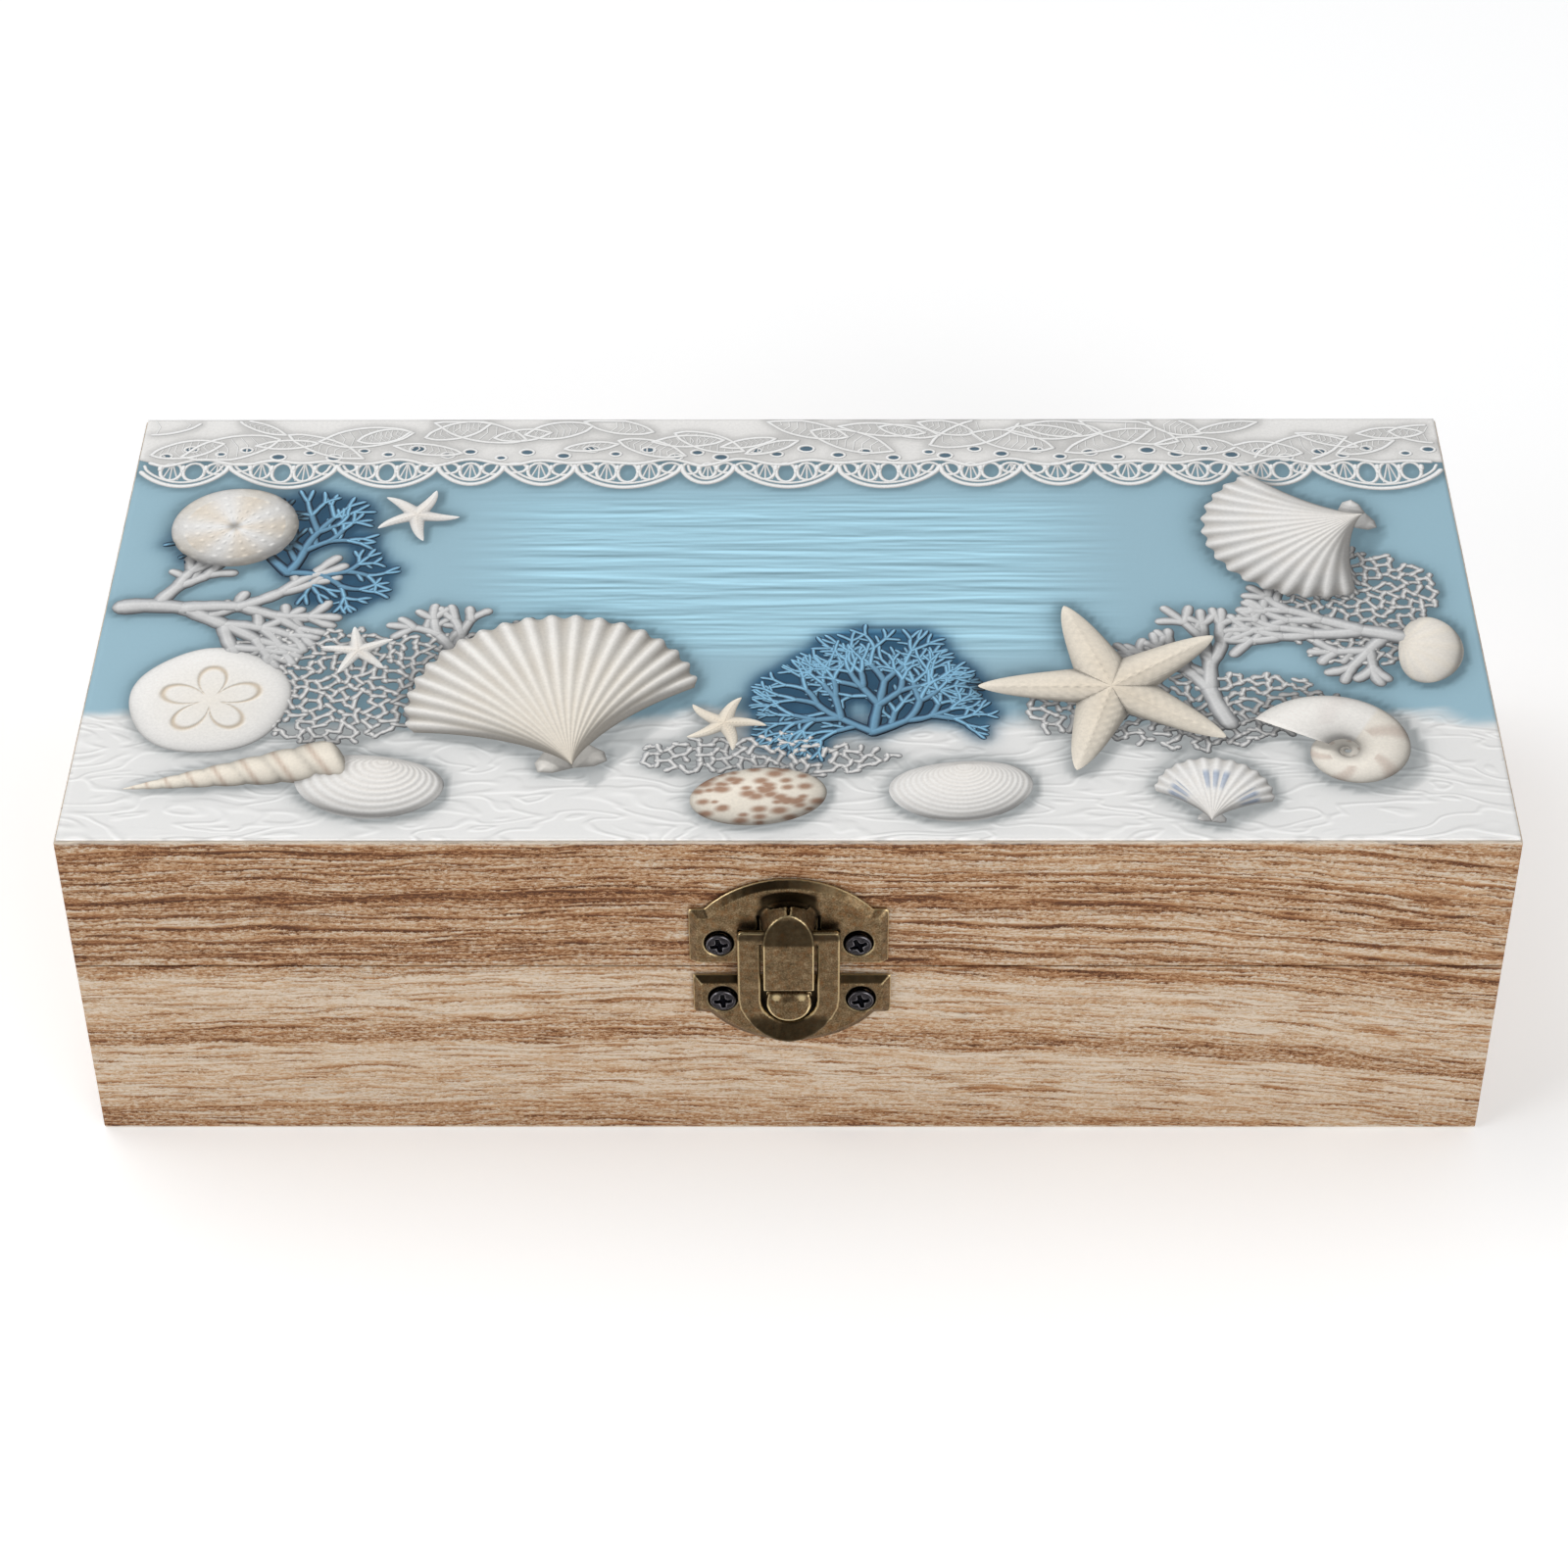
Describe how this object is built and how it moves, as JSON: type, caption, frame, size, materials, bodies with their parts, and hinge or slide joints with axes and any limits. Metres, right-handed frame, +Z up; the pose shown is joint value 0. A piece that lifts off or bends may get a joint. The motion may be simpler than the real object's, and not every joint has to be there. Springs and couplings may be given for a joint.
{
  "type": "wooden keepsake box",
  "caption": "Low rectangular wooden box with a hinged lid, a seaside picture printed on top and a small bronze hasp latch in front.",
  "frame": {"origin": "middle of the wooden box's footprint, on the underside that it stands on", "axes": "+Z up through the lid, +X along the box to the right as seen from the latch side, -Y out of the front where the latch is"},
  "size_m": [0.2, 0.1051, 0.057],
  "materials": {
    "wood": "torched and brushed softwood, open grain",
    "print": "matte printed film in pale blue, sand and off-white",
    "bronze": "antique bronze plating on pressed brass sheet, worn at the edges",
    "steel": "blackened steel screws"
  },
  "bodies": {
    "base": {"base_front_board": "wood", "base_back_board": "wood", "base_left_board": "wood", "base_right_board": "wood", "base_bottom_panel": "wood", "latch_base_plate": "bronze", "latch_base_screw_left": "steel", "latch_base_screw_right": "steel", "hinge_left_base_leaf": "bronze", "hinge_left_pin": "bronze", "hinge_left_base_screw_left": "steel", "hinge_left_base_screw_right": "steel", "hinge_right_base_leaf": "bronze", "hinge_right_pin": "bronze", "hinge_right_base_screw_left": "steel", "hinge_right_base_screw_right": "steel"},
    "lid": {"lid_front_rail": "wood", "lid_back_rail": "wood", "lid_left_rail": "wood", "lid_right_rail": "wood", "lid_top_panel": "wood", "lid_print_film": "print", "latch_lid_plate": "bronze", "latch_lid_screw_left": "steel", "latch_lid_screw_right": "steel", "hinge_left_lid_leaf": "bronze", "hinge_left_lid_screw_left": "steel", "hinge_left_lid_screw_right": "steel", "hinge_right_lid_leaf": "bronze", "hinge_right_lid_screw_left": "steel", "hinge_right_lid_screw_right": "steel"},
    "hasp": {"latch_hasp": "bronze"}
  },
  "joints": [
    {"name": "lid_hinge", "type": "hinge", "parent": "base", "child": "lid", "pos_m": [0, 0.0505, 0.033], "axis": [-1, 0, 0], "range_deg": [0, 180]},
    {"name": "hasp_swing", "type": "hinge", "parent": "lid", "child": "hasp", "pos_m": [0.00015, -0.05105, 0.041], "axis": [-1, 0, 0], "range_deg": [0, 120]}
  ]
}
